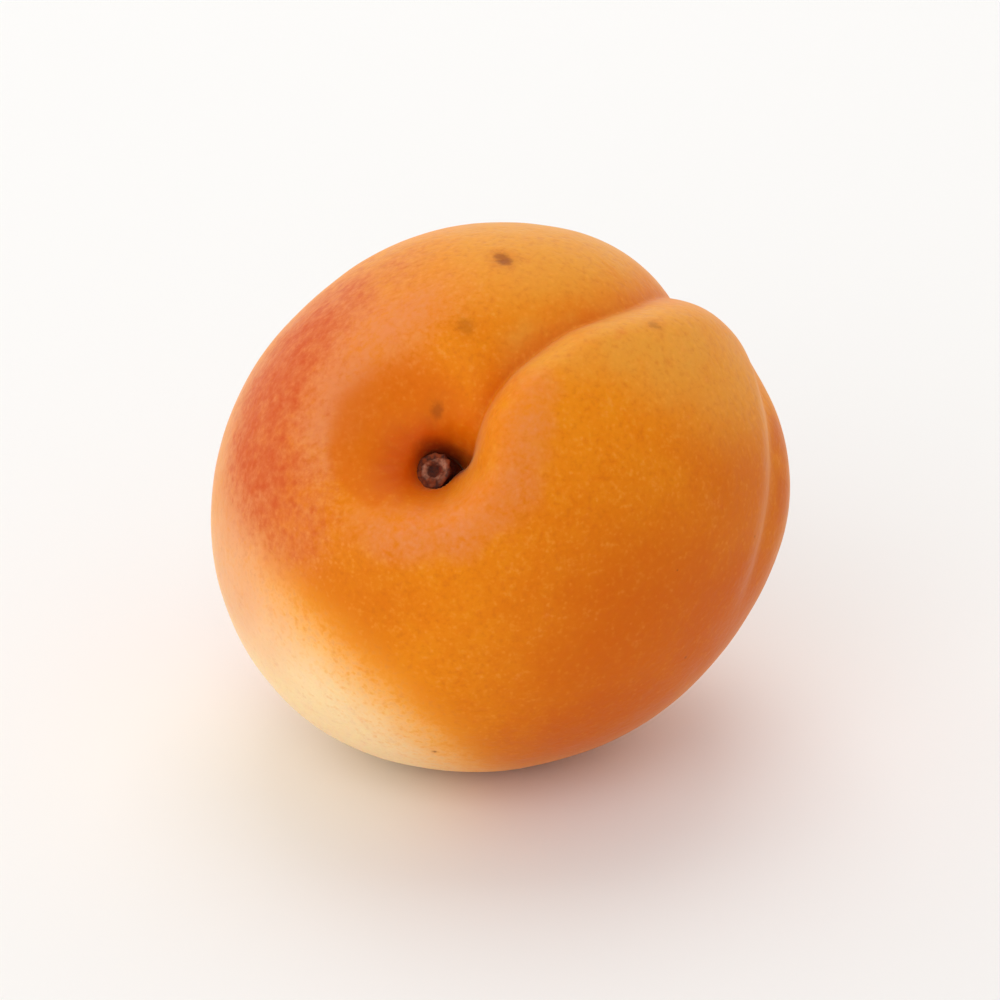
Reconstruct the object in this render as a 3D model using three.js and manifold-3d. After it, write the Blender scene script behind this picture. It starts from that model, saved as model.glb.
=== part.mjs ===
// A ripe apricot lying on its side, with the dry stub of its stalk in the hollow at its top.
// Millimetres, +Z up. The origin is on the surface that the fruit rests on, under its middle.
//
// The fruit is modelled in its own frame, where +Z is the stalk's axis and +X points to the
// side that the suture runs down. A place on its skin is given by two angles in that frame:
// polar, from 0 at the stalk to 180 at the tip, and azimuth around the stalk, from the
// suture's side, positive towards the broad lobe and negative towards the proud lobe.
import * as THREE from 'three';
import { mergeVertices } from 'three/addons/utils/BufferGeometryUtils.js';
import Module from 'manifold-3d';

const wasm = await Module();
wasm.setup();

// ---- Driving dimensions, millimetres and degrees ----

// The body is an egg-round form: wide across the lobes, and a little less along the stalk.
const WIDTH = 49.4;
const THICKNESS = 46.2;
const LENGTH = 46.2;
const WIDTH_AZIMUTH = -24;
const MEAN_RADIUS = 24;

// Where the body swells or flattens, over a soft round patch.
const SWELLINGS = [
  { name: 'tip side', polar: 84, azimuth: -176, height: 0.75, spread: 30 },
  { name: 'broad lobe', polar: 78, azimuth: 50, height: 0.45, spread: 20 },
  { name: 'blushed shoulder', polar: 72, azimuth: 112, height: 0.15, spread: 20 },
  { name: 'underside', polar: 97, azimuth: -150, height: -0.45, spread: 24 },
  { name: 'proud lobe', polar: 40, azimuth: -50, height: 0.5, spread: 20 },
  { name: 'flank', polar: 101, azimuth: -38, height: 0.45, spread: 20 },
  { name: 'flank ridge', polar: 101, azimuth: -50, height: 0.45, spread: 13 },
];

// The hollow round the stalk: a broad bowl to one side of the axis, and a narrow pit close to it.
const BOWL = { polar: 8.6, azimuth: 85, radius: 6.8, depth: 4.6, steepness: 3 };
const PIT = { polar: 3.6, azimuth: -72, radius: 4.0, depth: 4.1, steepness: 3.6 };

// The suture, from the pit to the tip: at each polar angle its azimuth, its depth, and how far
// the fold reaches on the broad lobe's side and on the proud lobe's side.
const SUTURE_AZIMUTH = [
  [0, -34], [9, -26], [13, -16], [18, -6], [27, -1], [36, -1], [45, -2], [53, -4], [63, -5],
  [80, -3], [93, -1], [110, 2], [130, 8], [150, 20], [180, 40],
];
const SUTURE_DEPTH = [[0, 2.2], [10, 2.8], [30, 2.9], [45, 2.3], [60, 1.9], [80, 1.9], [95, 1.6],
  [115, 1.0], [150, 0.5], [172, 0], [180, 0]];
const BROAD_SIDE_WIDTH = [[0, 5], [15, 8], [35, 10], [60, 10], [90, 9], [130, 6], [180, 3]];
const PROUD_SIDE_WIDTH = [[0, 2.4], [20, 2.8], [45, 3.3], [70, 4.6], [95, 6.5], [130, 5], [180, 3]];
const SUTURE_START = 3;
const SUTURE_ROUNDING = 0.35;
const LIP = { height: 0.45, reach: 4.5, endPolar: 100, fade: 40 };

// A shallow second fold that runs round the proud lobe's flank: its polar angle by azimuth,
// how far it reaches towards the tip and towards the stalk, and where it fades in and out.
const FLANK_FOLD_POLAR = [[-90, 97], [-80, 93], [-64, 89], [-50, 88], [-36, 90], [-25, 95], [-12, 102]];
const FLANK_FOLD = { depth: 0.6, tipSide: 3.4, stalkSide: 2.8, rounding: 0.8 };
const FLANK_FOLD_ENDS = { first: -82, last: -14, fadeIn: 25, fadeOut: 16 };

// The stalk's stub, broken off in the pit and a little to one side, and its seat in the flesh.
const STUB = { width: 3.4, thickness: 3.0, seat: 1.2, proud: 1.8, aside: 0.75, azimuth: 150 };
const SEAT_CLEARANCE = 0.3;
const STUB_SIDES = 28;

// How the fruit lies, and how deep the flat spot under it is.
const STALK_TILT = 54.2;
const STALK_HEADING = -110;
const SUTURE_ROLL = 151.2;
const REST_FLAT = 0.95;

// The skin's mesh: closer rows near the stalk, and closer columns along the suture.
const ROWS = 52;
const COLUMNS = 64;
const ROW_CROWDING = 1.25;
const COLUMN_CROWDING = 0.5;

// ---- Small helpers ----

const radians = THREE.MathUtils.degToRad;
const degrees = THREE.MathUtils.radToDeg;

function smoothstep(x) {
  const t = THREE.MathUtils.clamp(x, 0, 1);
  return t * t * (3 - 2 * t);
}

// A smooth curve through [x, y] points, flat beyond its ends.
function curveThrough(points, x) {
  const last = points.length - 1;
  const slope = (k) => {
    const before = points[Math.max(k - 1, 0)];
    const after = points[Math.min(k + 1, last)];
    return (after[1] - before[1]) / (after[0] - before[0]);
  };
  let k = 0;
  while (k < last - 1 && x >= points[k + 1][0]) k += 1;
  const [x0, y0] = points[k];
  const [x1, y1] = points[k + 1];
  const h = x1 - x0;
  const t = THREE.MathUtils.clamp((x - x0) / h, 0, 1);
  const t2 = t * t;
  const t3 = t2 * t;
  return (2 * t3 - 3 * t2 + 1) * y0 + (t3 - 2 * t2 + t) * h * slope(k)
    + (3 * t2 - 2 * t3) * y1 + (t3 - t2) * h * slope(k + 1);
}

function direction(polar, azimuth) {
  const out = Math.sin(radians(polar));
  const x = out * Math.cos(radians(azimuth));
  const y = out * Math.sin(radians(azimuth));
  return new THREE.Vector3(x, y, Math.cos(radians(polar)));
}

// The cross-section of a fold: 1 at its line, easing to 0 at the reach on each side.
function fold(across, positiveReach, negativeReach, rounding) {
  const distance = Math.hypot(across, rounding) - rounding;
  const reach = across > 0 ? positiveReach : negativeReach;
  return Math.max(1 - distance / reach, 0) ** 2;
}

// ---- The skin ----

function bodyRadius(toward) {
  const turned = toward.clone().applyAxisAngle(new THREE.Vector3(0, 0, 1), -radians(WIDTH_AZIMUTH));
  const stretched = new THREE.Vector3(
    turned.x / (WIDTH / 2),
    turned.y / (THICKNESS / 2),
    turned.z / (LENGTH / 2),
  );
  let radius = 1 / stretched.length();
  for (const swelling of SWELLINGS) {
    const away = degrees(toward.angleTo(direction(swelling.polar, swelling.azimuth)));
    radius += swelling.height * Math.exp(-0.5 * (away / swelling.spread) ** 2);
  }
  return radius;
}

function hollow(toward, { polar, azimuth, radius, depth, steepness }) {
  const away = toward.angleTo(direction(polar, azimuth)) * MEAN_RADIUS;
  return depth * Math.exp(-((away / radius) ** steepness));
}

function sutureDepth(polar, azimuth) {
  const turn = radians(azimuth - curveThrough(SUTURE_AZIMUTH, polar));
  const ringRadius = MEAN_RADIUS * Math.sin(radians(polar));
  const across = ringRadius * Math.sin(turn);
  const start = smoothstep((ringRadius * Math.cos(turn) + 0.5) / SUTURE_START);
  const broadReach = curveThrough(BROAD_SIDE_WIDTH, polar);
  const proudReach = curveThrough(PROUD_SIDE_WIDTH, polar);
  const depth = curveThrough(SUTURE_DEPTH, polar)
    * fold(across, broadReach, proudReach, SUTURE_ROUNDING);
  const onProudLobe = Math.max(-across / LIP.reach, 0) ** 2;
  const lip = LIP.height * onProudLobe * Math.exp(1 - onProudLobe);
  return start * (depth - lip * smoothstep((LIP.endPolar - polar) / LIP.fade));
}

function flankFoldDepth(polar, azimuth) {
  const across = MEAN_RADIUS * radians(polar - curveThrough(FLANK_FOLD_POLAR, azimuth));
  const fade = smoothstep((azimuth - FLANK_FOLD_ENDS.first) / FLANK_FOLD_ENDS.fadeIn)
    * smoothstep((FLANK_FOLD_ENDS.last - azimuth) / FLANK_FOLD_ENDS.fadeOut);
  const { depth, tipSide, stalkSide, rounding } = FLANK_FOLD;
  return depth * fade * fold(across, tipSide, stalkSide, rounding);
}

function skinPoint(polar, azimuth) {
  const wrapped = THREE.MathUtils.euclideanModulo(azimuth + 180, 360) - 180;
  const toward = direction(polar, wrapped);
  const radius = bodyRadius(toward) - hollow(toward, BOWL) - hollow(toward, PIT)
    - sutureDepth(polar, wrapped) - flankFoldDepth(polar, wrapped);
  return toward.multiplyScalar(radius);
}

// Rings of points from the stalk to the tip. Column 0 follows the suture's line.
function skinGeometry() {
  const points = [skinPoint(0, 0)];
  for (let row = 1; row < ROWS; row += 1) {
    const polar = 180 * (row / ROWS) ** ROW_CROWDING;
    for (let column = 0; column < COLUMNS; column += 1) {
      const turn = (2 * Math.PI * column) / COLUMNS;
      const azimuth = curveThrough(SUTURE_AZIMUTH, polar) + degrees(turn - COLUMN_CROWDING * Math.sin(turn));
      points.push(skinPoint(polar, azimuth));
    }
  }
  points.push(skinPoint(180, 0));

  const at = (row, column) => 1 + (row - 1) * COLUMNS + (column % COLUMNS);
  const tip = points.length - 1;
  const faces = [];
  for (let column = 0; column < COLUMNS; column += 1) {
    faces.push(0, at(1, column), at(1, column + 1));
    for (let row = 1; row < ROWS - 1; row += 1) {
      faces.push(at(row, column), at(row + 1, column), at(row + 1, column + 1));
      faces.push(at(row, column), at(row + 1, column + 1), at(row, column + 1));
    }
    faces.push(tip, at(ROWS - 1, column + 1), at(ROWS - 1, column));
  }
  const geometry = new THREE.BufferGeometry().setFromPoints(points);
  geometry.setIndex(faces);
  return geometry;
}

// ---- Joining and cutting ----

function toSolid(geometry) {
  const bare = geometry.clone();
  bare.deleteAttribute('normal');
  bare.deleteAttribute('uv');
  const merged = mergeVertices(bare, 1e-5);
  return new wasm.Manifold(new wasm.Mesh({
    numProp: 3,
    vertProperties: new Float32Array(merged.attributes.position.array),
    triVerts: new Uint32Array(merged.index.array),
  }));
}

function toGeometry(solid) {
  const mesh = solid.getMesh();
  const geometry = new THREE.BufferGeometry();
  geometry.setAttribute('position', new THREE.BufferAttribute(mesh.vertProperties, 3));
  geometry.setIndex(new THREE.BufferAttribute(mesh.triVerts, 1));
  geometry.computeVertexNormals();
  return geometry;
}

// ---- The stalk's stub ----

const PIT_FLOOR = skinPoint(0, 0).z;
const STUB_FOOT = PIT_FLOOR - STUB.seat;
const STUB_HEIGHT = STUB.seat + STUB.proud;
const STUB_X = STUB.aside * Math.cos(radians(STUB.azimuth));
const STUB_Y = STUB.aside * Math.sin(radians(STUB.azimuth));

// A short dry peg: waisted above its seat, with a broken, dished end and a raised rim.
function stubGeometry() {
  const profile = [
    [0, 0], [0.82, 0], [0.9, 0.1], [0.86, 0.3], [0.84, 0.55], [0.92, 0.8], [1, 0.92], [0.97, 1],
    [0.8, 0.99], [0.62, 0.93], [0.35, 0.87], [0, 0.86],
  ].map(([radius, height]) => new THREE.Vector2(radius, height * STUB_HEIGHT));
  const stub = new THREE.LatheGeometry(profile, STUB_SIDES);
  stub.rotateX(Math.PI / 2);
  stub.scale(STUB.width / 2, STUB.thickness / 2, 1);
  stub.translate(STUB_X, STUB_Y, STUB_FOOT);
  return toGeometry(toSolid(stub));
}

// The space that the stub's seat takes out of the flesh, open at the top.
function seatGeometry() {
  const height = STUB.seat + STUB.proud + SEAT_CLEARANCE;
  const seat = new THREE.CylinderGeometry(1, 1, height, STUB_SIDES);
  seat.rotateX(Math.PI / 2);
  seat.scale(STUB.width / 2 + SEAT_CLEARANCE, STUB.thickness / 2 + SEAT_CLEARANCE, 1);
  seat.translate(STUB_X, STUB_Y, STUB_FOOT - SEAT_CLEARANCE + height / 2);
  return seat;
}

// ---- The way the fruit lies ----

const lyingPose = new THREE.Matrix4().makeRotationZ(radians(STALK_HEADING))
  .multiply(new THREE.Matrix4().makeRotationY(radians(STALK_TILT)))
  .multiply(new THREE.Matrix4().makeRotationZ(radians(SUTURE_ROLL)));

// The block of ground, in the fruit's frame, that flattens the spot it rests on.
function groundGeometry(skin) {
  const lying = skin.clone().applyMatrix4(lyingPose);
  lying.computeBoundingBox();
  const ground = new THREE.BoxGeometry(WIDTH, WIDTH, WIDTH);
  ground.translate(0, 0, lying.boundingBox.min.z + REST_FLAT - WIDTH / 2);
  return ground.applyMatrix4(lyingPose.clone().invert());
}

// ---- The pieces ----

function makeFruit() {
  const skin = skinGeometry();
  const flesh = toSolid(skin).subtract(toSolid(seatGeometry())).subtract(toSolid(groundGeometry(skin)));
  const material = new THREE.MeshStandardMaterial({ color: 0xe2861c, roughness: 0.62, metalness: 0 });
  const fruit = new THREE.Mesh(toGeometry(flesh), material);
  fruit.name = 'fruit';
  return fruit;
}

function makeStub() {
  const material = new THREE.MeshStandardMaterial({ color: 0x6b4526, roughness: 0.9, metalness: 0 });
  const stub = new THREE.Mesh(stubGeometry(), material);
  stub.name = 'stalk_stub';
  return stub;
}

// Turned about the stalk, tipped over, then swung round: the fruit lies stalk upwards at a slant.
const roll = new THREE.Group();
roll.rotation.z = radians(SUTURE_ROLL);
roll.add(makeFruit(), makeStub());

const tilt = new THREE.Group();
tilt.rotation.y = radians(STALK_TILT);
tilt.add(roll);

const group = new THREE.Group();
group.rotation.z = radians(STALK_HEADING);
group.add(tilt);

// The origin goes under the middle of the fruit, on the surface it rests on.
group.updateMatrixWorld(true);
const extent = new THREE.Box3().setFromObject(group, true);
const middle = extent.getCenter(new THREE.Vector3());
group.position.set(-middle.x, -middle.y, -extent.min.z);

export default group;
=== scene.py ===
import math

import bpy
import numpy as np
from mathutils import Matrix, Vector, noise
from numpy import radians


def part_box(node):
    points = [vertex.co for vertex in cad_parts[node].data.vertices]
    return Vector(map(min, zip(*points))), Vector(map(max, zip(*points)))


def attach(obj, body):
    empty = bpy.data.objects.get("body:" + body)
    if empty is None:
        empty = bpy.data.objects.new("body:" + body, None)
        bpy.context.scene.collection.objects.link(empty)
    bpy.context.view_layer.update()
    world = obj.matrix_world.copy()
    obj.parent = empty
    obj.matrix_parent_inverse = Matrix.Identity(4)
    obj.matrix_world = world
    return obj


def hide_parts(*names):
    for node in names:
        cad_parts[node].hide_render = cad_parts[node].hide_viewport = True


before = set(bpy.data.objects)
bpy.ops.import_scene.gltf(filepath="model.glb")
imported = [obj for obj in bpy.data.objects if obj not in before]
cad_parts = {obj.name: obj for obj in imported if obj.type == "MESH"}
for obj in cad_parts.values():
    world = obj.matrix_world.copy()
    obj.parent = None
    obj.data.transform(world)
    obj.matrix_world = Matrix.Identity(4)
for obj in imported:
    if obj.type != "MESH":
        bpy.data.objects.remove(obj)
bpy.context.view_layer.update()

MM = 0.001

# The fruit is worked out in its own frame, in millimetres: +Z is the stalk's axis and +X points
# to the side that the suture runs down. A place on the skin is a polar angle, 0 at the stalk and
# 180 at the tip, and an azimuth, positive towards the broad lobe. Angles are in degrees.

# ---- The fruit's form: the same as the CAD solid's ----

WIDTH = 49.4
THICKNESS = 46.2
LENGTH = 46.2
WIDTH_AZIMUTH = -24
MEAN_RADIUS = 24

SWELLINGS = [  # polar, azimuth, height, spread
    (84, -176, 0.75, 30),  # tip side
    (78, 50, 0.45, 20),  # broad lobe
    (72, 112, 0.15, 20),  # blushed shoulder
    (97, -150, -0.45, 24),  # underside
    (40, -50, 0.5, 20),  # proud lobe
    (101, -38, 0.45, 20),  # flank
    (101, -50, 0.45, 13),  # flank ridge
]

BOWL = (8.6, 85, 6.8, 4.6, 3)  # polar, azimuth, radius, depth, steepness
PIT = (3.6, -72, 4.0, 4.1, 3.6)

SUTURE_AZIMUTH = [
    (0, -34), (9, -26), (13, -16), (18, -6), (27, -1), (36, -1), (45, -2), (53, -4), (63, -5),
    (80, -3), (93, -1), (110, 2), (130, 8), (150, 20), (180, 40),
]
SUTURE_DEPTH = [
    (0, 2.2), (10, 2.8), (30, 2.9), (45, 2.3), (60, 1.9), (80, 1.9), (95, 1.6), (115, 1.0),
    (150, 0.5), (172, 0), (180, 0),
]
BROAD_SIDE_WIDTH = [(0, 5), (15, 8), (35, 10), (60, 10), (90, 9), (130, 6), (180, 3)]
PROUD_SIDE_WIDTH = [(0, 2.4), (20, 2.8), (45, 3.3), (70, 4.6), (95, 6.5), (130, 5), (180, 3)]
SUTURE_START = 3  # the distance in which the suture reaches its full depth
SUTURE_AHEAD = 0.5  # how far behind the stalk's axis it starts
SUTURE_ROUNDING = 0.35
LIP_HEIGHT = 0.45
LIP_REACH = 4.5
LIP_END_POLAR = 100
LIP_FADE = 40

FLANK_FOLD_POLAR = [
    (-90, 97), (-80, 93), (-64, 89), (-50, 88), (-36, 90), (-25, 95), (-12, 102),
]
FLANK_FOLD_DEPTH = 0.6
FLANK_ROUNDING = 0.8
FLANK_TIP_SIDE = 3.4
FLANK_STALK_SIDE = 2.8
FLANK_FIRST = -82
FLANK_LAST = -14
FLANK_FADE_IN = 25
FLANK_FADE_OUT = 16

STUB_WIDTH = 3.4
STUB_THICKNESS = 3.0
STUB_SEAT = 1.2
STUB_PROUD = 1.8
STUB_ASIDE = 0.75
STUB_AZIMUTH = 150

STALK_TILT = 54.2
STALK_HEADING = -110
SUTURE_ROLL = 151.2

# ---- Detail finer than the CAD solid's ----

ROWS = 240
COLUMNS = 400
ROW_CROWDING = 1.25  # over 1, the rows lie closer near the stalk
COLUMN_CROWDING = 0.5  # over 0, the columns lie closer near the suture

SEAT_CLEARANCE = 0.12
SEAT_SHARE = 0.93  # of the stub's width that its seat takes: the flesh hugs its waist
SEAT_EDGE = 0.35
SEAT_POLAR = 30  # the seat is only in the pit, not at the tip behind it

GROOVE_DEPTH = 0.06  # of the fine line at the suture's bottom
GROOVE_HALF_WIDTH = 0.4
GROOVE_FULL_FROM = 1.5  # the suture's depth from which the line is at full strength

PLEAT_HEIGHT = 0.07
PLEAT_COUNT = 13
PLEAT_SWAY = 1.3  # how unevenly the pleats are spaced, in three swings round the axis
PLEAT_SWINGS = 3
PLEAT_MIDDLE = 4.6  # how far from the axis the pleats are strongest
PLEAT_REACH = 2.0

UNEVENNESS = ((0.11, 9.0), (0.035, 3.2))  # height and size of the skin's soft lumps
EVEN_POLAR = 8  # the lumps start this far from the stalk
EVEN_FADE = 12  # and reach their full height that much farther out
LUMP_STEPS = (1, 2.3, -1.7)  # how far one seed's lumps are shifted from the next one's
CONTACT_SOFTNESS = 0.35

# Brown marks on the skin: polar, azimuth, radius in mm, strength.
MARKS = [
    (52.8, 26.9, 0.9, 0.75),
    (51.5, 25.3, 0.95, 0.85),
    (31.0, 26.0, 1.2, 0.3),
    (14.0, 38.5, 1.1, 0.55),
    (180.0, 0.0, 0.6, 0.9),
    (58.5, -15.0, 0.7, 0.4),
    (74.0, -148.0, 0.22, 0.8),
    (118.0, 64.0, 0.5, 0.7),
    (96.0, 140.0, 0.35, 0.6),
    (132.0, -60.0, 0.45, 0.7),
]
MARK_DENT = 0.1

# Where painted shade makes the skin's colour deeper: in the hollow, and in the suture's valley
# and crease.
HOLLOW_EDGE = 7.3  # from the bowl's middle
HOLLOW_EDGE_WIDTH = 1.5
HOLLOW_EDGE_WIDENING = 3.5  # added on the side where the hollow's edge is softest
HOLLOW_SOFT_AZIMUTH = 30
VALLEY_SHARE = 0.55
VALLEY_BROAD_SIDE = 6
PROUD_SIDE_EDGE = 1.5  # how far up the proud lobe the hollow's and the valley's colour go
CREASE_HALF_WIDTH = 1.1
CREASE_FULL_FROM = 2  # the suture's depth from which its colour is at full strength


def smoothstep(x):
    t = np.clip(x, 0, 1)
    return t * t * (3 - 2 * t)


def through(points, x):
    """A smooth curve through (x, y) points, flat beyond its ends."""
    xs, ys = np.array(points, float).T
    last = len(xs) - 1
    before = np.maximum(np.arange(last + 1) - 1, 0)
    after = np.minimum(np.arange(last + 1) + 1, last)
    slope = (ys[after] - ys[before]) / (xs[after] - xs[before])
    k = np.clip(np.searchsorted(xs, x, side="right") - 1, 0, last - 1)
    h = xs[k + 1] - xs[k]
    t = np.clip((x - xs[k]) / h, 0, 1)
    start = (2 * t**3 - 3 * t**2 + 1) * ys[k] + (t**3 - 2 * t**2 + t) * h * slope[k]
    end = (3 * t**2 - 2 * t**3) * ys[k + 1] + (t**3 - t**2) * h * slope[k + 1]
    return start + end


def direction(polar, azimuth):
    """Unit vectors towards places on the skin; the last axis is x, y, z."""
    out = np.sin(radians(polar))
    x = out * np.cos(radians(azimuth))
    y = out * np.sin(radians(azimuth))
    return np.stack([x, y, np.cos(radians(polar))], -1)


def angle_from(toward, polar, azimuth):
    """Degrees between each direction and one place on the skin."""
    return np.degrees(np.arccos(np.clip(toward @ direction(polar, azimuth), -1, 1)))


def distance_from(toward, polar, azimuth):
    """Millimetres over a round skin between each direction and one place."""
    return radians(angle_from(toward, polar, azimuth)) * MEAN_RADIUS


def fold(across, positive_reach, negative_reach, rounding):
    """A fold's cross-section: 1 at its line, easing to 0 at the reach on each side."""
    distance = np.hypot(across, rounding) - rounding
    reach = np.where(across > 0, positive_reach, negative_reach)
    return np.clip(1 - distance / reach, 0, None) ** 2


def smooth_lumps(points, size, seed):
    """Soft noise from -1 to 1 over points in mm, with lumps of about that size."""
    shift = Vector([step * seed for step in LUMP_STEPS])
    return np.array([noise.noise(Vector(p) / size + shift) for p in points])


# ---- The skin's form ----


def body_radius(toward):
    turn = radians(WIDTH_AZIMUTH)
    x = toward[:, 0] * math.cos(turn) + toward[:, 1] * math.sin(turn)
    y = toward[:, 1] * math.cos(turn) - toward[:, 0] * math.sin(turn)
    stretched = np.stack([x / (WIDTH / 2), y / (THICKNESS / 2), toward[:, 2] / (LENGTH / 2)], -1)
    radius = 1 / np.linalg.norm(stretched, axis=1)
    for polar, azimuth, height, spread in SWELLINGS:
        away = angle_from(toward, polar, azimuth)
        radius = radius + height * np.exp(-0.5 * (away / spread) ** 2)
    return radius


def hollow(toward, shape):
    polar, azimuth, radius, depth, steepness = shape
    away = distance_from(toward, polar, azimuth)
    return depth * np.exp(-((away / radius) ** steepness))


def suture_place(polar, azimuth):
    """Distance across the suture's line in mm, and 0 to 1 for the side it runs down."""
    turn = radians(azimuth - through(SUTURE_AZIMUTH, polar))
    ring = MEAN_RADIUS * np.sin(radians(polar))
    return ring * np.sin(turn), smoothstep((ring * np.cos(turn) + SUTURE_AHEAD) / SUTURE_START)


def suture_depth(polar, azimuth):
    across, start = suture_place(polar, azimuth)
    broad = through(BROAD_SIDE_WIDTH, polar)
    proud = through(PROUD_SIDE_WIDTH, polar)
    depth = through(SUTURE_DEPTH, polar) * fold(across, broad, proud, SUTURE_ROUNDING)
    on_proud_lobe = np.clip(-across / LIP_REACH, 0, None) ** 2
    lip = LIP_HEIGHT * on_proud_lobe * np.exp(1 - on_proud_lobe)
    return start * (depth - lip * smoothstep((LIP_END_POLAR - polar) / LIP_FADE))


def flank_fold(polar, azimuth):
    across = MEAN_RADIUS * radians(polar - through(FLANK_FOLD_POLAR, azimuth))
    fade_in = smoothstep((azimuth - FLANK_FIRST) / FLANK_FADE_IN)
    fade_out = smoothstep((FLANK_LAST - azimuth) / FLANK_FADE_OUT)
    across_fold = fold(across, FLANK_TIP_SIDE, FLANK_STALK_SIDE, FLANK_ROUNDING)
    return fade_in * fade_out * across_fold


def suture_groove(polar, azimuth):
    """0 to 1: the fine line at the bottom of the suture, from the pit to where it fades."""
    across, start = suture_place(polar, azimuth)
    strength = np.clip(through(SUTURE_DEPTH, polar) / GROOVE_FULL_FROM, 0, 1)
    return start * strength * np.exp(-((across / GROOVE_HALF_WIDTH) ** 2))


def pleats(polar, azimuth):
    """Shallow pleats that run down into the pit."""
    from_axis = radians(polar) * MEAN_RADIUS
    turn = radians(azimuth)
    wave = np.sin(turn * PLEAT_COUNT + PLEAT_SWAY * np.sin(turn * PLEAT_SWINGS))
    return PLEAT_HEIGHT * wave * np.exp(-(((from_axis - PLEAT_MIDDLE) / PLEAT_REACH) ** 2))


def dents(toward):
    total = np.zeros(len(toward))
    for polar, azimuth, radius, strength in MARKS:
        away = distance_from(toward, polar, azimuth)
        total += MARK_DENT * strength * np.exp(-((away / radius) ** 2))
    return total


def stub_centre():
    turn = math.radians(STUB_AZIMUTH)
    return STUB_ASIDE * math.cos(turn), STUB_ASIDE * math.sin(turn)


def seat(toward, radius, polar):
    """The depth of the stub's seat under the floor of the pit."""
    centre_x, centre_y = stub_centre()
    x = (toward[:, 0] * radius - centre_x) / (SEAT_SHARE * STUB_WIDTH / 2)
    y = (toward[:, 1] * radius - centre_y) / (SEAT_SHARE * STUB_THICKNESS / 2)
    inside = (1 - np.hypot(x, y)) * STUB_WIDTH / 2
    depth = STUB_SEAT + SEAT_CLEARANCE
    return depth * smoothstep(inside / SEAT_EDGE + 1) * (polar < SEAT_POLAR)


def skin_radius(polar, azimuth):
    toward = direction(polar, azimuth)
    radius = body_radius(toward) - hollow(toward, BOWL) - hollow(toward, PIT)
    radius = radius - suture_depth(polar, azimuth) - FLANK_FOLD_DEPTH * flank_fold(polar, azimuth)
    radius = radius - GROOVE_DEPTH * suture_groove(polar, azimuth)
    radius = radius + pleats(polar, azimuth) - dents(toward)
    return radius - seat(toward, radius, polar)


def pit_floor():
    """The height of the pit's floor on the stalk's axis, without the seat."""
    polar = np.zeros(1)
    azimuth = np.zeros(1)
    toward = direction(polar, azimuth)
    depth = hollow(toward, BOWL) + hollow(toward, PIT) + suture_depth(polar, azimuth)
    return float((body_radius(toward) - depth)[0])


# ---- From the fruit's frame to the way it lies ----


def turn_about_z(angle):
    cos, sin = math.cos(radians(angle)), math.sin(radians(angle))
    return np.array([[cos, -sin, 0], [sin, cos, 0], [0, 0, 1]])


def turn_about_y(angle):
    cos, sin = math.cos(radians(angle)), math.sin(radians(angle))
    return np.array([[cos, 0, sin], [0, 1, 0], [-sin, 0, cos]])


def turned(points):
    """Points in the fruit's frame, turned to the way that the fruit lies."""
    roll = turn_about_z(SUTURE_ROLL)
    tilt = turn_about_y(STALK_TILT)
    heading = turn_about_z(STALK_HEADING)
    return points @ (heading @ tilt @ roll).T


def place_under(points):
    """The shift, in mm, that brings the turned fruit to where the CAD fruit lies."""
    low, high = (np.array(corner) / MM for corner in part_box("fruit"))
    middle = (points.min(0) + points.max(0)) / 2
    return np.array([*((low + high) / 2 - middle)[:2], high[2] - points[:, 2].max()])


def press_on_floor(points):
    """Flattens the underside where it rests, with a soft edge."""
    height = points[:, 2]
    soft = (height + CONTACT_SOFTNESS) ** 2 / (4 * CONTACT_SOFTNESS)
    soft = np.where(height > CONTACT_SOFTNESS, height, soft)
    points[:, 2] = np.where(height < -CONTACT_SOFTNESS, 0, soft)
    return points


# ---- Meshes ----


def ring_faces(rings, columns):
    """Faces of a closed form: a first point, rings of points, and a last point."""
    last = 1 + rings * columns
    faces = []
    for j in range(columns):
        k = (j + 1) % columns
        faces.append((0, 1 + j, 1 + k))
        for i in range(rings - 1):
            upper = 1 + i * columns
            lower = upper + columns
            faces.append((upper + j, lower + j, lower + k, upper + k))
        bottom = 1 + (rings - 1) * columns
        faces.append((last, bottom + k, bottom + j))
    return faces


def make_mesh(name, points, faces):
    mesh = bpy.data.meshes.new(name)
    mesh.from_pydata((points * MM).tolist(), [], faces)
    mesh.shade_smooth()
    mesh.update()
    piece = bpy.data.objects.new(name, mesh)
    bpy.context.scene.collection.objects.link(piece)
    return piece


def set_attribute(piece, name, values):
    kind = "FLOAT_VECTOR" if values.ndim == 2 else "FLOAT"
    field = "vector" if values.ndim == 2 else "value"
    attribute = piece.data.attributes.new(name, kind, "POINT")
    attribute.data.foreach_set(field, values.astype(np.float32).ravel())


def skin_places():
    """The polar angle and azimuth of every point of the skin's mesh."""
    rows = 180 * (np.arange(1, ROWS) / ROWS) ** ROW_CROWDING
    turn = 2 * np.pi * np.arange(COLUMNS) / COLUMNS
    columns = np.degrees(turn - COLUMN_CROWDING * np.sin(turn))
    polar = np.repeat(rows, COLUMNS)
    azimuth = through(SUTURE_AZIMUTH, polar) + np.tile(columns, ROWS - 1)
    azimuth = (azimuth + 180) % 360 - 180
    return np.concatenate([[0], polar, [180]]), np.concatenate([[0], azimuth, [0]])


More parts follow.
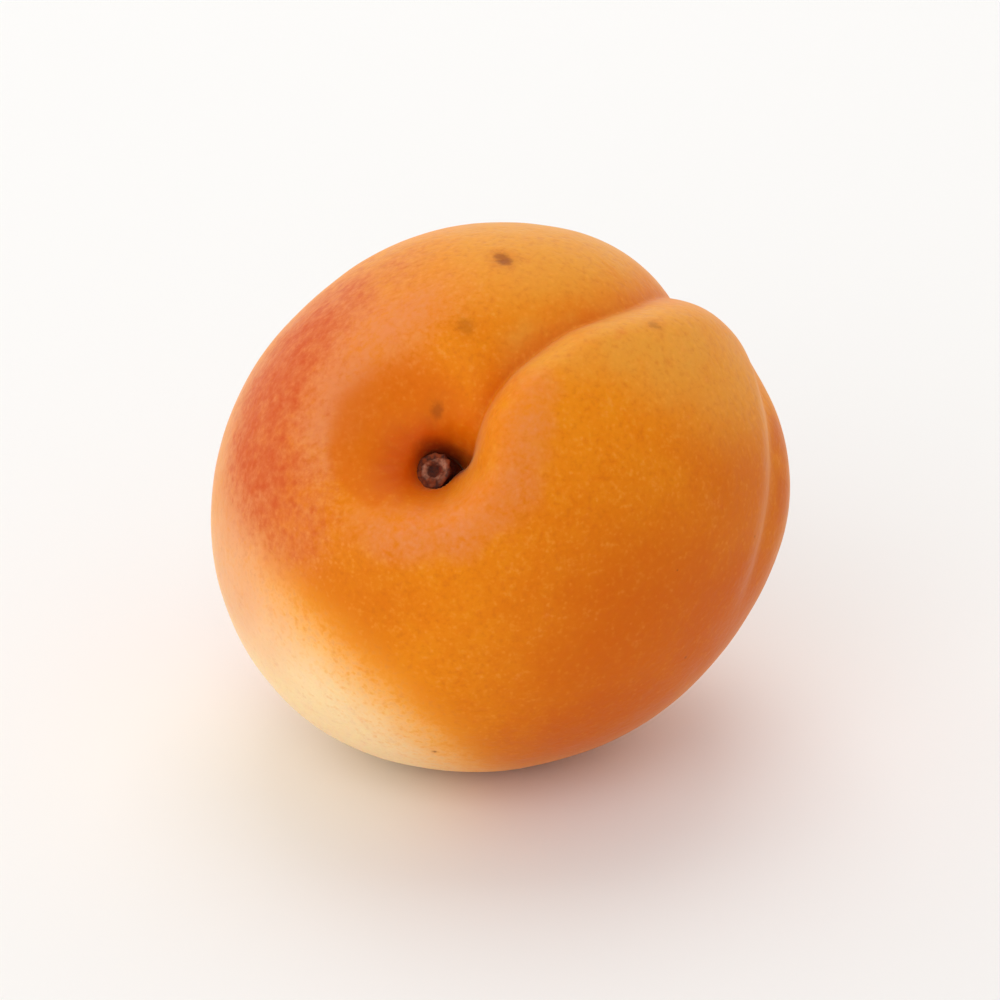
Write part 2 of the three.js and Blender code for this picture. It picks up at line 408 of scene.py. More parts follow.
def mark_painted_shade(fruit, toward, polar, azimuth):
    """Stores, for the skin's material, how far each point is in the crease and the hollow, for
    the painted shade there.
    """
    across, start = suture_place(polar, azimuth)
    in_suture = start * np.clip(through(SUTURE_DEPTH, polar) / CREASE_FULL_FROM, 0, 1)
    under_proud_lobe = smoothstep(1 + across / PROUD_SIDE_EDGE)
    valley = in_suture * smoothstep(1 - across / VALLEY_BROAD_SIDE) * under_proud_lobe
    softness = np.clip(np.cos(radians(azimuth - HOLLOW_SOFT_AZIMUTH)), 0, 1)
    edge_width = HOLLOW_EDGE_WIDTH + HOLLOW_EDGE_WIDENING * softness
    from_edge = HOLLOW_EDGE - distance_from(toward, *BOWL[:2])
    in_bowl = smoothstep(from_edge / edge_width + 0.5) * under_proud_lobe
    set_attribute(fruit, "crease", in_suture * np.exp(-((across / CREASE_HALF_WIDTH) ** 2)))
    set_attribute(fruit, "hollow", np.maximum(in_bowl, VALLEY_SHARE * valley))


def make_fruit():
    """The fruit, and the shift that brings it to where the CAD fruit lies."""
    polar, azimuth = skin_places()
    toward = direction(polar, azimuth)
    radius = skin_radius(polar, azimuth)
    away_from_pit = smoothstep((polar - EVEN_POLAR) / EVEN_FADE)
    for seed, (height, size) in enumerate(UNEVENNESS, start=1):
        lumps = smooth_lumps(toward * MEAN_RADIUS, size, seed)
        radius = radius + height * away_from_pit * lumps
    lying = turned(toward * radius[:, None])
    shift = place_under(lying)
    resting = press_on_floor(lying + shift)
    fruit = make_mesh("apricot_fruit", resting, ring_faces(ROWS - 1, COLUMNS))
    set_attribute(fruit, "toward", toward)
    mark_painted_shade(fruit, toward, polar, azimuth)
    return fruit, shift


# ---- The stub ----

STUB_COLUMNS = 72
STUB_RINGS = 64
# Radius and height over the stub, both 0 to 1: the foot, the waisted side, the bark's broken
# edge, the raised ring of wood inside it, and the pith.
STUB_PROFILE = [
    (0, 0), (0.82, 0), (0.9, 0.1), (0.86, 0.3), (0.84, 0.55), (0.9, 0.78), (0.97, 0.9),
    (0.93, 0.95), (0.78, 0.95), (0.66, 0.93), (0.6, 0.98), (0.5, 1.0), (0.4, 0.94), (0.28, 0.86),
    (0, 0.84),
]
PROFILE_SMOOTHINGS = 2
BARK_SPAN = (3, 3, 4)  # the stub's half width and height, in the bark's noise
BARK_LUMP_SIZE = 0.9
BARK_LUMP_HEIGHT = 0.09  # as a share of the radius, like the fibres'
BARK_SEED = 5
FIBRE_COUNT = 9
FIBRE_HEIGHT = 0.045
FIBRE_SWAY = 2  # how unevenly the fibres are spaced, in two swings round the stub
FIBRE_SWINGS = 2
END_FROM = 0.8  # how far up the broken end starts
END_FADE = 0.12
END_SMOOTHNESS = 0.3  # how much flatter the fibres and the bark are on it
JAG_HEIGHT = 0.05  # as a share of the stub's height
JAG_SIZE = 1.1
JAG_FLATTENING = (1, 1, 0.2)  # the jags of the broken end hardly change with height
JAG_SEED = 9
PITH_RADIUS = 0.3  # nearer the middle than this, the end is less jagged
RING_ASIDE = (0.1, -0.14)  # the middle of the ring of wood, in shares of the stub's half width


def stub_outline():
    """Radius and height along the profile, evenly spaced and a little rounded."""
    corners = np.array(STUB_PROFILE)
    steps = np.linalg.norm(np.diff(corners, axis=0), axis=1)
    at = np.concatenate([[0], np.cumsum(steps)])
    wanted = np.linspace(0, at[-1], STUB_RINGS + 2)
    radius = np.interp(wanted, at, corners[:, 0])
    height = np.interp(wanted, at, corners[:, 1])
    for _ in range(PROFILE_SMOOTHINGS):
        radius[1:-1] = (radius[:-2] + 2 * radius[1:-1] + radius[2:]) / 4
        height[1:-1] = (height[:-2] + 2 * height[1:-1] + height[2:]) / 4
    return radius, height


def weather_stub(ring_radius, ring_height, angle):
    """The stub's radius and height at each point, with its fibres, bark and torn end."""
    around = np.stack([np.cos(angle), np.sin(angle), ring_height], -1)
    place = (around * BARK_SPAN).reshape(-1, 3)
    bark = smooth_lumps(place, BARK_LUMP_SIZE, BARK_SEED).reshape(angle.shape)
    fibres = np.sin(FIBRE_COUNT * angle + FIBRE_SWAY * np.sin(FIBRE_SWINGS * angle))
    rough = FIBRE_HEIGHT * fibres + BARK_LUMP_HEIGHT * bark
    on_end = smoothstep((ring_height - END_FROM) / END_FADE)
    across = ring_radius * (1 + rough * (1 - END_SMOOTHNESS * on_end))
    jag = smooth_lumps(place * JAG_FLATTENING, JAG_SIZE, JAG_SEED).reshape(angle.shape)
    up = ring_height + on_end * JAG_HEIGHT * jag * smoothstep(ring_radius / PITH_RADIUS)
    return across, np.minimum(up, 1.0)


def make_stub(shift):
    radius, height = stub_outline()
    turn = 2 * np.pi * np.arange(STUB_COLUMNS) / STUB_COLUMNS
    ring_radius, angle = np.meshgrid(radius[1:-1], turn, indexing="ij")
    ring_height, _ = np.meshgrid(height[1:-1], turn, indexing="ij")
    across, up = weather_stub(ring_radius, ring_height, angle)
    across_x = across * np.cos(angle)
    across_y = across * np.sin(angle)

    total = STUB_SEAT + STUB_PROUD
    x = across_x * STUB_WIDTH / 2
    y = across_y * STUB_THICKNESS / 2
    rings = np.stack([x, y, up * total], -1).reshape(-1, 3)
    points = np.vstack([[0, 0, height[0] * total], rings, [0, 0, height[-1] * total]])
    points += (*stub_centre(), pit_floor() - STUB_SEAT)
    faces = [tuple(reversed(face)) for face in ring_faces(STUB_RINGS, STUB_COLUMNS)]
    stub = make_mesh("apricot_stalk_stub", turned(points) + shift, faces)

    ring_x, ring_y = RING_ASIDE
    from_ring = np.hypot(across_x - ring_x, across_y - ring_y).ravel()
    middle = math.hypot(ring_x, ring_y)
    set_attribute(stub, "out", np.concatenate([[middle], from_ring, [middle]]))
    set_attribute(stub, "up", np.concatenate([[0], ring_height.ravel(), [height[-1]]]))
    return stub


# ---- Materials ----

SCREEN_TOE = 10.3  # the screen value under which a screen's brightness curve is straight


def linear_light(value):
    """A 0 to 255 screen value as linear light."""
    share = value / 255
    return share / 12.92 if value < SCREEN_TOE else ((share + 0.055) / 1.055) ** 2.4


def colour(red, green, blue):
    """A colour given in 0 to 255 screen values, for a shader's socket."""
    return (linear_light(red), linear_light(green), linear_light(blue), 1.0)


# A Mix node's sockets for colours, by number: the sockets of its other kinds share their names.
MIX_FIRST = 6
MIX_SECOND = 7
MIX_RESULT = 2


class Shading:
    """A material's nodes, made one call at a time."""

    def __init__(self, name):
        self.material = bpy.data.materials.new(name)
        self.material.use_nodes = True
        self.tree = self.material.node_tree
        self.shader = self.tree.nodes["Principled BSDF"]
        self.position = self.add("ShaderNodeTexCoord").outputs["Object"]

    def add(self, kind, **settings):
        node = self.tree.nodes.new(kind)
        for name, value in settings.items():
            setattr(node, name, value)
        return node

    def put(self, socket, value):
        """Links an output to a socket, or sets a constant on it."""
        if isinstance(value, bpy.types.NodeSocket):
            self.tree.links.new(value, socket)
        else:
            socket.default_value = value

    def attribute(self, name, vector=False):
        node = self.add("ShaderNodeAttribute", attribute_name=name)
        return node.outputs["Vector" if vector else "Fac"]

    def math(self, operation, first, second=0.0, third=0.0):
        """A Math node: any operation on two or three values."""
        node = self.add("ShaderNodeMath", operation=operation)
        for socket, value in zip(node.inputs, (first, second, third)):
            self.put(socket, value)
        return node.outputs[0]

    def together(self, first, second, share):
        """Two values added up: the second counts for that share, and the first for the rest."""
        rest = self.math("MULTIPLY", first, 1 - share)
        return self.math("ADD", rest, self.math("MULTIPLY", second, share))

    def about_zero(self, value, width):
        """A value from 0 to 1, spread from -width / 2 to width / 2."""
        return self.math("MULTIPLY_ADD", value, width, -width / 2)

    def ramp(self, value, low, high, start=0.0, end=1.0):
        """A value taken smoothly from low..high to start..end, and held beyond them."""
        node = self.add("ShaderNodeMapRange", interpolation_type="SMOOTHSTEP")
        node.inputs["From Min"].default_value = low
        node.inputs["From Max"].default_value = high
        node.inputs["To Min"].default_value = start
        node.inputs["To Max"].default_value = end
        self.put(node.inputs["Value"], value)
        return node.outputs["Result"]

    def mix(self, share, first, second):
        """A colour that goes from the first to the second as the share goes from 0 to 1."""
        node = self.add("ShaderNodeMix", data_type="RGBA")
        self.put(node.inputs["Factor"], share)
        self.put(node.inputs[MIX_FIRST], first)
        self.put(node.inputs[MIX_SECOND], second)
        return node.outputs[MIX_RESULT]

    def grain(self, size_mm, detail=2.0, roughness=0.5):
        """Cloudy noise from 0 to 1, with lumps of about that size."""
        node = self.add("ShaderNodeTexNoise")
        self.put(node.inputs["Vector"], self.position)
        node.inputs["Scale"].default_value = 1 / (size_mm * MM)
        node.inputs["Detail"].default_value = detail
        node.inputs["Roughness"].default_value = roughness
        return node.outputs["Fac"]

    def dots(self, spacing_mm):
        """Distance in cells to the nearest of evenly strewn points, and a random number each."""
        node = self.add("ShaderNodeTexVoronoi")
        self.put(node.inputs["Vector"], self.position)
        node.inputs["Scale"].default_value = 1 / (spacing_mm * MM)
        split = self.add("ShaderNodeSeparateColor")
        self.put(split.inputs[0], node.outputs["Color"])
        return node.outputs["Distance"], split.outputs[0]

    def distance_mm(self, toward, polar, azimuth, added=0.0):
        """Straight from one place on the skin to this one in mm, and what is added to that."""
        node = self.add("ShaderNodeVectorMath", operation="DISTANCE")
        self.put(node.inputs[0], toward)
        node.inputs[1].default_value = direction(polar, azimuth)
        return self.math("MULTIPLY_ADD", node.outputs["Value"], MEAN_RADIUS, added)

    def bump(self, height, distance_mm, strength, normal=None):
        node = self.add("ShaderNodeBump")
        node.inputs["Strength"].default_value = strength
        node.inputs["Distance"].default_value = distance_mm * MM
        self.put(node.inputs["Height"], height)
        if normal is not None:
            self.put(node.inputs["Normal"], normal)
        return node.outputs["Normal"]

    def finish(self, **values):
        """Sets the shader's sockets: a constant stays on the socket, and an output is linked."""
        for name, value in values.items():
            self.put(self.shader.inputs[name.replace("_", " ")], value)
        return self.material


# ---- The skin's material ----

AMBER = colour(228, 126, 2)
WARM_AMBER = colour(232, 134, 6)
HONEY = colour(236, 146, 16)
# Golden: partly the skin's own tone, partly painted sheen of the light from above on the surfaces
# facing it.
GOLDEN_AND_SHEEN = colour(229, 154, 52)
# Painted shade: a deeper amber where shade falls on the lower side and beyond the flank fold.
SHADE_AMBER = colour(206, 92, 0)
# Painted sheen: a pale peach along the rim of the blushed side.
RIM_SHEEN_PEACH = colour(238, 168, 118)
# Pale cheek and its edge: less ripe skin, and partly a painted glow of light bounced from below.
PALE_CREAM_AND_GLOW = colour(255, 220, 168)
PALE_HONEY_AND_GLOW = colour(250, 166, 52)
BLUSH_RED = colour(208, 84, 28)
BLUSH_PEACH = colour(226, 138, 86)
# Painted sheen: a pale band on the crest round the hollow.
CREST_SHEEN = colour(227, 136, 80)
PORE_PALE = colour(244, 166, 60)
SPECK_DEEP = colour(198, 90, 6)
# Painted shade in the hollow and the suture's valley.
HOLLOW_SHADE_AMBER = colour(220, 110, 0)
# Rust: partly the stalk scar's own stain, partly painted shade in the pit and the suture's
# crease.
RUST_AND_SHADE = colour(200, 82, 0)
# Painted shade at the bottom of the pit, partly the stalk scar's own dark brown.
MAROON_AND_SHADE = colour(114, 36, 8)
MARK_TAN = colour(200, 104, 8)
MARK_BROWN = colour(128, 52, 2)
NAP_TINT = colour(255, 220, 180)

# How big the skin's kinds of unevenness are, in mm, from broad to fine.
CLOUD_SIZE = 13
SPECK_SPACING = 5.5
MOTTLE_SIZE = 2.6
PEEL_SIZE = 1.2
FRECKLE_SPACING = 0.9
STREAK_SIZE = 0.85
FINE_SIZE = 0.6
PORE_SPACING = 0.5

FINE_HEIGHT = 0.048  # of the skin's relief, in mm
PEEL_HEIGHT = 0.06

PATCH_WANDER = 3.6  # how far the edges of the soft patches wander, in mm
STAIN_WANDER = 1.2  # the same for the dark bottom and the stain in the pit, both partly painted shade
RAGGEDNESS = 0.9  # the same for the brown marks
DRIFT = 0.9  # how much the blush and the painted sheen on the crest come and go from lump to lump
STIPPLE = 1.1  # and how much from grain to grain

# Distances on the skin, in mm, from places given as polar, azimuth.
CREAM_MIDDLE = (84, 176)  # of the pale cheek: less ripe skin and a painted glow of light bounced from below, with a paler golden edge
CREAM_FULL_TO = 9
CREAM_ENDS = 18.2
HONEY_FULL_TO = 13.8
HONEY_ENDS = 20.5
HALO_MIDDLE = (4, 110)  # of the rusty stain round the stub: partly the scar's own colour, partly painted shade
HALO_FULL_TO = 2.6
HALO_ENDS = 6.4
HEART_MIDDLE = (2, 60)  # of the dark bottom of the pit: painted shade, partly the scar's own brown
HEART_FULL_TO = 1.7
HEART_ENDS = 3.3
NAP_FROM = 3.0  # from the stain's middle: nearer, the grain is faint
NAP_FULL_FROM = 9.0

# How strongly each step covers the colour under it, 0 to 1.
HOLLOW_COVER = 0.85
CREASE_COVER = 0.3
PIT_COVER = 0.9
STAIN_COVER = 0.5
MARK_COVER = 0.8
PALE_GRAIN_COVER = 0.34
DARK_GRAIN_COVER = 0.3

PORE_REACH = 0.62  # in the distances between pores
PORE_SHARE = 0.18  # of the grain; the rest is the fine unevenness
SPECK_REACH = 0.032  # in the distances between specks, like the softness of their edges
SPECK_SOFTNESS = 0.012
FRECKLE_REACH = 0.3  # in the distances between freckles
FRECKLE_STRENGTH = 0.3
STREAK_STRENGTH = 1.6
STAIN_SPREAD = 2.2  # of the tan stain round each brown mark, in the mark's radii
LIGHT_DEPTH = 2.2  # how far light goes into the flesh, in mm

# Soft patches on the skin: polar, azimuth, reach in mm, strength.
PEACH_PLACES = [
    (27, 128, 5.5, 0.8), (28, 108, 6.0, 1.0), (29, 90, 6.0, 0.9),
    (31, 60, 8.0, 0.6), (37, 44, 8.0, 0.4), (33, 80, 8.0, 0.7), (48, 60, 8.0, 0.5),
    (47, 82, 12.0, 0.9), (46, 105, 12.0, 1.0), (44, 128, 11.0, 0.95), (35, 148, 9.0, 0.7),
]
RED_PLACES = [
    (53, 63, 10.0, 0.4), (49, 77, 9.5, 0.75), (46, 90, 10.0, 1.0), (45, 104, 10.5, 1.0),
    (43, 118, 9.0, 1.0), (38, 133, 8.0, 0.9), (33, 150, 7.0, 0.6), (29, 124, 5.5, 0.35),
    (26, 142, 5.0, 0.4),
]
# Painted sheen along the rim of the blushed side.
RIM_SHEEN_PLACES = [
    (68, 128, 12.0, 0.5), (60, 150, 11.0, 0.8), (58, 162, 9.0, 0.5), (70, 106, 11.0, 0.4),
]
# Golden patches: partly the skin's own tone, partly painted sheen of the light from above.
GOLDEN_AND_SHEEN_PLACES = [
    (52, -13, 8.0, 0.9), (60, -17, 10.0, 0.9), (70, -24, 11.0, 0.65), (40, -10, 6.0, 0.6),
    (66, 22, 15.0, 0.85), (57, 54, 9.0, 0.5), (36, -4, 5.5, 0.8), (46, -7, 5.0, 0.6),
    (130, 90, 14.0, 0.6),
]
# Painted sheen on the crest round the hollow and along the proud lobe.
CREST_SHEEN_PLACES = [
    (27, -19, 3.2, 0.6), (23, -34, 3.2, 0.8), (21, -50, 3.4, 0.7), (20.5, -68, 3.6, 0.8),
    (18, -90, 3.8, 0.85), (17, -115, 4.0, 1.0), (16.5, -145, 3.8, 1.0), (18, -168, 3.4, 0.9),
    (19, 173, 3.0, 0.5), (27, 108, 3.6, 0.6), (29, 92, 4.2, 1.0), (31, 77, 4.6, 1.0),
    (34, 62, 4.8, 0.9), (35, 48, 4.6, 0.7),
]
# Painted shade: deeper amber mostly on the lower side and the far flank, and beyond the flank
# fold.
SHADE_PLACES = [
    (72, -92, 22.0, 0.8), (84, -110, 17.0, 0.9), (86, -80, 16.0, 0.9), (108, -80, 18.0, 0.7),
    (98, -56, 12.0, 0.6), (76, -58, 13.0, 0.6), (96, -40, 4.5, 0.7), (95, -50, 4.5, 0.8),
    (35, -172, 9.0, 0.3),
]
PATCH_HEART = 0.25  # the share of a patch's reach that is at full strength
MARK_HEART = 0.2


class Skin:
    """What the steps of the skin's material share: the place on the fruit, and its unevenness."""

    def __init__(self, nodes):
        self.nodes = nodes
        self.toward = nodes.attribute("toward", vector=True)
        self.mottle = nodes.grain(MOTTLE_SIZE, detail=4, roughness=0.55)
        self.fine = nodes.grain(FINE_SIZE, detail=3, roughness=0.6)
        near_pore, lot = nodes.dots(PORE_SPACING)
        pore_size = nodes.ramp(lot, 0.0, 1.0, 0.5, 1.0)
        pore = nodes.ramp(near_pore, 0.0, PORE_REACH, 1.0, 0.0)
        pore = nodes.math("MULTIPLY", pore, pore_size)
        self.grain = nodes.together(self.fine, pore, PORE_SHARE)
        self.wander = nodes.about_zero(self.mottle, PATCH_WANDER)
        self.stain_wander = nodes.about_zero(self.mottle, STAIN_WANDER)
        self.drift = nodes.about_zero(self.mottle, DRIFT)
        self.stipple = nodes.about_zero(self.grain, STIPPLE)
        self.uneven = nodes.math("ADD", self.drift, self.stipple)

    def distance(self, polar, azimuth, added=0.0):
        return self.nodes.distance_mm(self.toward, polar, azimuth, added)

    def patch(self, places):
        """0 to 1: soft round patches, joined, with edges that wander."""
        nodes = self.nodes
        total = 0.0
        for polar, azimuth, reach, strength in places:
            away = self.distance(polar, azimuth, self.wander)
            here = nodes.ramp(away, reach * PATCH_HEART, reach, strength, 0.0)
            total = nodes.math("MAXIMUM", total, here)
        return total


def ground_colour(nodes, skin, painted_shade, cream_and_glow, from_cheek):
    """Amber that drifts a little: paler, to creamy, where less ripe, with painted sheen, glow and
    shade.
    """
    clouds = nodes.grain(CLOUD_SIZE)
    ground = nodes.mix(nodes.ramp(clouds, 0.35, 0.65), AMBER, WARM_AMBER)
    ground = nodes.mix(nodes.ramp(skin.mottle, 0.35, 0.7, 0.0, 0.4), ground, HONEY)
    # Painted shade where the patches of deeper amber lie.
    ground = nodes.mix(painted_shade, ground, SHADE_AMBER)
    # Golden tone, partly painted sheen of the light from above.
    ground = nodes.mix(skin.patch(GOLDEN_AND_SHEEN_PLACES), ground, GOLDEN_AND_SHEEN)
    # The pale cheek and its golden edge: less ripe skin, and partly a painted glow of light
    # bounced from below.
    honey_and_glow = nodes.ramp(from_cheek, HONEY_FULL_TO, HONEY_ENDS, 1.0, 0.0)
    ground = nodes.mix(honey_and_glow, ground, PALE_HONEY_AND_GLOW)
    ground = nodes.mix(cream_and_glow, ground, PALE_CREAM_AND_GLOW)
    # Painted sheen along the rim of the blushed side.
    return nodes.mix(skin.patch(RIM_SHEEN_PLACES), ground, RIM_SHEEN_PEACH)


def add_blush(nodes, skin, surface, red):
    """Peach at the blush's edge, and red at its heart, broken up by streaks and freckles."""
    peach = nodes.math("ADD", skin.patch(PEACH_PLACES), skin.uneven)
    surface = nodes.mix(nodes.ramp(peach, 0.0, 1.3), surface, BLUSH_PEACH)
    near_freckle, lot = nodes.dots(FRECKLE_SPACING)
    from_freckle = nodes.math("SUBTRACT", near_freckle, nodes.ramp(lot, 0.3, 1.0, 0.0, 0.4))
    freckle = nodes.ramp(from_freckle, -FRECKLE_REACH, FRECKLE_REACH, FRECKLE_STRENGTH, 0.0)
    freckled = nodes.math("MULTIPLY_ADD", freckle, nodes.ramp(red, 0.0, 0.4), red)
    streaks = nodes.grain(STREAK_SIZE, detail=3, roughness=0.7)
    streaks = nodes.about_zero(streaks, STREAK_STRENGTH)
    freckled = nodes.math("ADD", nodes.math("ADD", freckled, skin.drift), streaks)
    return nodes.mix(nodes.ramp(freckled, 0.0, 1.5), surface, BLUSH_RED)


def add_hollow(nodes, skin, surface, crest_sheen, hollow_shade, from_halo):
    """Painted sheen on the crest round the hollow, and painted shade in it and in the suture."""
    patchy = nodes.ramp(nodes.math("MULTIPLY_ADD", skin.uneven, 1.2, 0.62), 0.0, 1.0)
    # Painted sheen on the crest round the hollow.
    surface = nodes.mix(nodes.math("MULTIPLY", crest_sheen, patchy), surface, CREST_SHEEN)
    # Painted shade in the hollow, the suture's valley and its crease.
    surface = nodes.mix(nodes.math("MULTIPLY", hollow_shade, HOLLOW_COVER), surface, HOLLOW_SHADE_AMBER)
    crease = nodes.math("MULTIPLY", nodes.attribute("crease"), CREASE_COVER)
    surface = nodes.mix(crease, surface, RUST_AND_SHADE)
    # The rusty stain round the stub and the dark bottom of the pit: partly the scar's own colour,
    # partly painted shade.
    halo = nodes.ramp(from_halo, HALO_FULL_TO, HALO_ENDS, PIT_COVER, 0.0)
    surface = nodes.mix(halo, surface, RUST_AND_SHADE)
    from_heart = skin.distance(*HEART_MIDDLE, skin.stain_wander)
    heart = nodes.ramp(from_heart, HEART_FULL_TO, HEART_ENDS, PIT_COVER, 0.0)
    return nodes.mix(heart, surface, MAROON_AND_SHADE)


def add_nap(nodes, skin, surface, lit):
    """The fine pale and dark grain of skin whose nap catches the light unevenly."""
    pale = nodes.ramp(skin.grain, 0.42, 0.7, 0.0, PALE_GRAIN_COVER)
    surface = nodes.mix(nodes.math("MULTIPLY", lit, pale), surface, PORE_PALE)
    dark = nodes.ramp(skin.grain, 0.44, 0.2, 0.0, DARK_GRAIN_COVER)
    return nodes.mix(nodes.math("MULTIPLY", lit, dark), surface, SPECK_DEEP)


def tiny_specks(nodes):
    """A sprinkling of pinpoint brown specks of uneven size, far apart and fainter than marks."""
    near, lot = nodes.dots(SPECK_SPACING)
    size = nodes.ramp(lot, 0.4, 1.0, 0.0, SPECK_REACH)
    from_edge = nodes.math("SUBTRACT", near, size)
    return nodes.ramp(from_edge, -SPECK_SOFTNESS, SPECK_SOFTNESS, 0.6, 0.0)


def mark_shapes(nodes, skin):
    """The brown marks and the stain round each of them, both ragged, and both 0 to 1."""
    ragged = nodes.about_zero(skin.fine, RAGGEDNESS)
    marks = 0.0
    stain = 0.0
    for polar, azimuth, radius, strength in MARKS:
        away = skin.distance(polar, azimuth, ragged)
        reach = radius * STAIN_SPREAD
        mark_here = nodes.ramp(away, radius * MARK_HEART, radius, strength, 0.0)
        stain_here = nodes.ramp(away, reach * MARK_HEART, reach, strength, 0.0)
        marks = nodes.math("MAXIMUM", marks, mark_here)
        stain = nodes.math("MAXIMUM", stain, stain_here)
    return marks, stain


def add_marks(nodes, skin, surface):
    marks, stain = mark_shapes(nodes, skin)
    surface = nodes.mix(nodes.math("MULTIPLY", stain, STAIN_COVER), surface, MARK_TAN)
    marks = nodes.math("MAXIMUM", marks, tiny_specks(nodes))
    return nodes.mix(nodes.math("MULTIPLY", marks, MARK_COVER), surface, MARK_BROWN)


def skin_bump(nodes, skin):
    normal = nodes.bump(skin.fine, FINE_HEIGHT, 0.85)
    return nodes.bump(nodes.grain(PEEL_SIZE, detail=1), PEEL_HEIGHT, 0.5, normal)


def skin_material():
    nodes = Shading("apricot_skin")
    skin = Skin(nodes)
    painted_shade = skin.patch(SHADE_PLACES)
    red = skin.patch(RED_PLACES)
    crest_sheen = skin.patch(CREST_SHEEN_PLACES)
    # Painted shade in the hollow and the suture's valley.
    in_hollow = nodes.math("MULTIPLY_ADD", skin.drift, 0.6, nodes.attribute("hollow"))
    hollow_shade = nodes.ramp(in_hollow, 0.05, 0.95)
    # The pale cheek: less ripe skin, and partly a painted glow of light bounced from below.
    from_cheek = nodes.math("MULTIPLY_ADD", skin.wander, 0.5, skin.distance(*CREAM_MIDDLE))
    from_cheek = nodes.math("MULTIPLY_ADD", skin.stipple, 4.5, from_cheek)
    cream_and_glow = nodes.ramp(from_cheek, CREAM_FULL_TO, CREAM_ENDS, 1.0, 0.0)
    from_halo = skin.distance(*HALO_MIDDLE, skin.stain_wander)

    surface = ground_colour(nodes, skin, painted_shade, cream_and_glow, from_cheek)
    surface = add_blush(nodes, skin, surface, red)
    surface = add_hollow(nodes, skin, surface, crest_sheen, hollow_shade, from_halo)

    # The nap shows less in the pit and the hollow, and under other tints and painted sheen or
    # shade.
    out_of_pit = nodes.ramp(from_halo, NAP_FROM, NAP_FULL_FROM, 0.3, 1.0)
    lit = nodes.math("MULTIPLY", out_of_pit, nodes.ramp(hollow_shade, 0.0, 1.0, 1.0, 0.7))
    warm_or_pale = nodes.math("MAXIMUM", red, cream_and_glow)
    tinted = nodes.math("MAXIMUM", warm_or_pale, nodes.math("MAXIMUM", crest_sheen, painted_shade))
    lit = nodes.math("MULTIPLY", lit, nodes.ramp(tinted, 0.1, 0.9, 1.0, 0.35))
    surface = add_nap(nodes, skin, surface, lit)
    surface = add_marks(nodes, skin, surface)

    dull = nodes.together(skin.fine, skin.mottle, 0.5)
    return nodes.finish(
        Base_Color=surface,
        Roughness=nodes.ramp(dull, 0.3, 0.7, 0.42, 0.56),
        Normal=skin_bump(nodes, skin),
        Specular_IOR_Level=0.1,
        Subsurface_Weight=0.35,
        Subsurface_Radius=(1.0, 0.32, 0.08),
        Subsurface_Scale=LIGHT_DEPTH * MM,
        Sheen_Weight=0.32,
        Sheen_Roughness=0.3,
        Sheen_Tint=NAP_TINT,
    )


# ---- The stub's material ----

BARK = colour(130, 58, 26)
BARK_DARK = colour(60, 22, 12)
WOOD_PALE = colour(184, 130, 104)
PITH = colour(112, 40, 18)

BARK_GRAIN = 0.5  # in mm, like the sizes under it
FIBRE_GRAIN = 0.16
RING_WANDER_SIZE = 1.2
RING_WANDER = 0.6  # of the stub's half width
RING_BREAK_SIZE = 1.1


def stub_material():
    nodes = Shading("apricot_stalk")
    up = nodes.attribute("up")
    rough_bark = nodes.grain(BARK_GRAIN, detail=4, roughness=0.65)
    fibre = nodes.grain(FIBRE_GRAIN, detail=3, roughness=0.6)

    bark = nodes.mix(nodes.ramp(rough_bark, 0.35, 0.65), BARK_DARK, BARK)
    wander = nodes.about_zero(nodes.grain(RING_WANDER_SIZE), RING_WANDER)
    out = nodes.math("ADD", nodes.attribute("out"), wander)
    on_end = nodes.ramp(up, 0.86, 0.92)
    ring = nodes.math("MULTIPLY", nodes.ramp(out, 0.3, 0.5), nodes.ramp(out, 0.6, 0.8, 1.0, 0.0))
    unbroken = nodes.ramp(nodes.grain(RING_BREAK_SIZE), 0.4, 0.58, 0.1, 0.9)
    ring = nodes.math("MULTIPLY", nodes.math("MULTIPLY", ring, unbroken), on_end)
    wood = nodes.mix(nodes.ramp(fibre, 0.3, 0.7, 0.55, 1.0), PITH, WOOD_PALE)
    end = nodes.mix(nodes.ramp(out, 0.25, 0.42, 1.0, 0.0), bark, PITH)
    surface = nodes.mix(on_end, nodes.mix(0.6, bark, BARK_DARK), end)
    surface = nodes.mix(ring, surface, wood)

    height = nodes.together(rough_bark, fibre, 0.4)
    return nodes.finish(
        Base_Color=surface,
        Roughness=nodes.ramp(rough_bark, 0.3, 0.7, 0.75, 0.95),
        Normal=nodes.bump(height, 0.12, 0.8),
        Specular_IOR_Level=0.3,
    )


# ---- The setting ----

VIEW_ELEVATION = 28
VIEW_DISTANCE = 0.52
VIEW_WIDTH = 0.086  # of what the camera sees at the fruit, in metres like the rest
SENSOR = 36.0
AIM = (0, 0, 0.0225)

FLOOR_SIZE = 3.0
PAPER = (0.9, 0.895, 0.885, 1)
SKY = (1, 0.99, 0.98, 1)
SKY_STRENGTH = 0.64

WARM_WHITE = (1.0, 0.985, 0.96)
SOFT_WHITE = (1.0, 0.98, 0.95)
WHITE = (1, 1, 1)

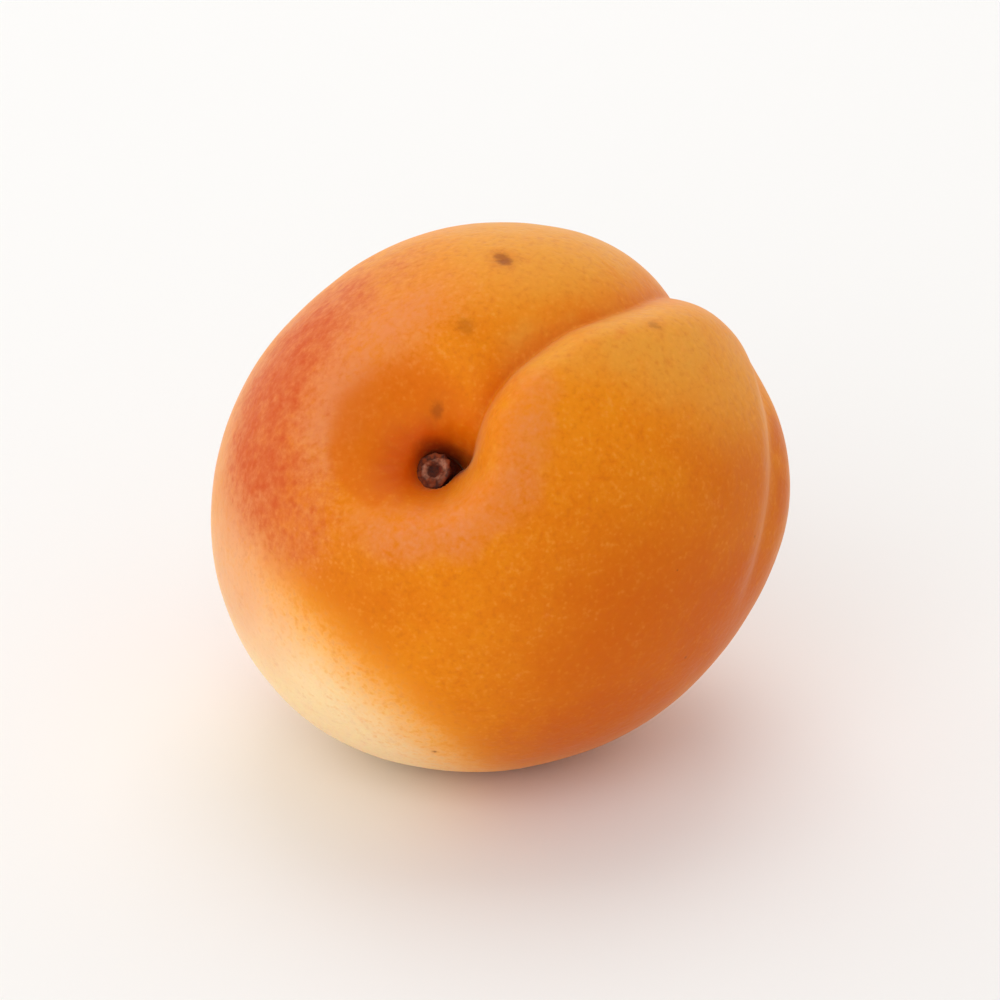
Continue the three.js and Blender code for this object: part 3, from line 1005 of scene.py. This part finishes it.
LIGHTS = [  # name, place, power in watts, size, tint
    ("key", (-0.14, -0.40, 0.38), 0.75, 0.40, WARM_WHITE),
    ("top", (0.0, 0.20, 0.52), 0.7, 0.35, WHITE),
    ("back", (0.0, 0.60, 0.20), 0.8, 0.60, WHITE),
    ("back_left", (-0.45, 0.35, 0.20), 0.3, 0.50, WHITE),
    ("back_right", (0.45, 0.35, 0.20), 0.22, 0.50, WHITE),
    ("low_left", (-0.36, -0.17, 0.025), 0.34, 0.20, SOFT_WHITE),
]


def make_floor():
    bpy.ops.mesh.primitive_plane_add(size=FLOOR_SIZE, location=(0, 0, 0))
    floor = bpy.context.object
    floor.name = "floor"
    nodes = Shading("floor_paper")
    floor.data.materials.append(
        nodes.finish(Base_Color=PAPER, Roughness=0.9, Specular_IOR_Level=0.2)
    )


def place_and_aim(thing, place):
    """Puts a lamp or camera in the scene, pointing at the fruit's middle."""
    thing.location = place
    thing.rotation_mode = "QUATERNION"
    thing.rotation_quaternion = (Vector(AIM) - thing.location).to_track_quat("-Z", "Y")
    bpy.context.scene.collection.objects.link(thing)


def make_lights():
    for name, place, power, size, tint in LIGHTS:
        light = bpy.data.lights.new(name, "AREA")
        light.energy = power
        light.size = size
        light.color = tint
        place_and_aim(bpy.data.objects.new(name, light), place)


def make_sky():
    world = bpy.data.worlds.new("studio")
    bpy.context.scene.world = world
    world.use_nodes = True
    sky = world.node_tree.nodes["Background"]
    sky.inputs["Color"].default_value = SKY
    sky.inputs["Strength"].default_value = SKY_STRENGTH


def make_camera():
    turn = math.radians(VIEW_ELEVATION)
    data = bpy.data.cameras.new("camera")
    data.sensor_width = SENSOR
    data.lens = SENSOR * VIEW_DISTANCE / VIEW_WIDTH
    camera = bpy.data.objects.new("camera", data)
    away = Vector((0, -VIEW_DISTANCE * math.cos(turn), VIEW_DISTANCE * math.sin(turn)))
    place_and_aim(camera, away + Vector(AIM))
    bpy.context.scene.camera = camera


# ---- The scene ----

make_camera()
make_lights()
make_sky()
make_floor()
bpy.context.scene.view_settings.view_transform = "Standard"

fruit, shift = make_fruit()
fruit.data.materials.append(skin_material())
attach(fruit, "root")
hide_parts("fruit")

stub = make_stub(shift)
stub.data.materials.append(stub_material())
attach(stub, "root")
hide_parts("stalk_stub")
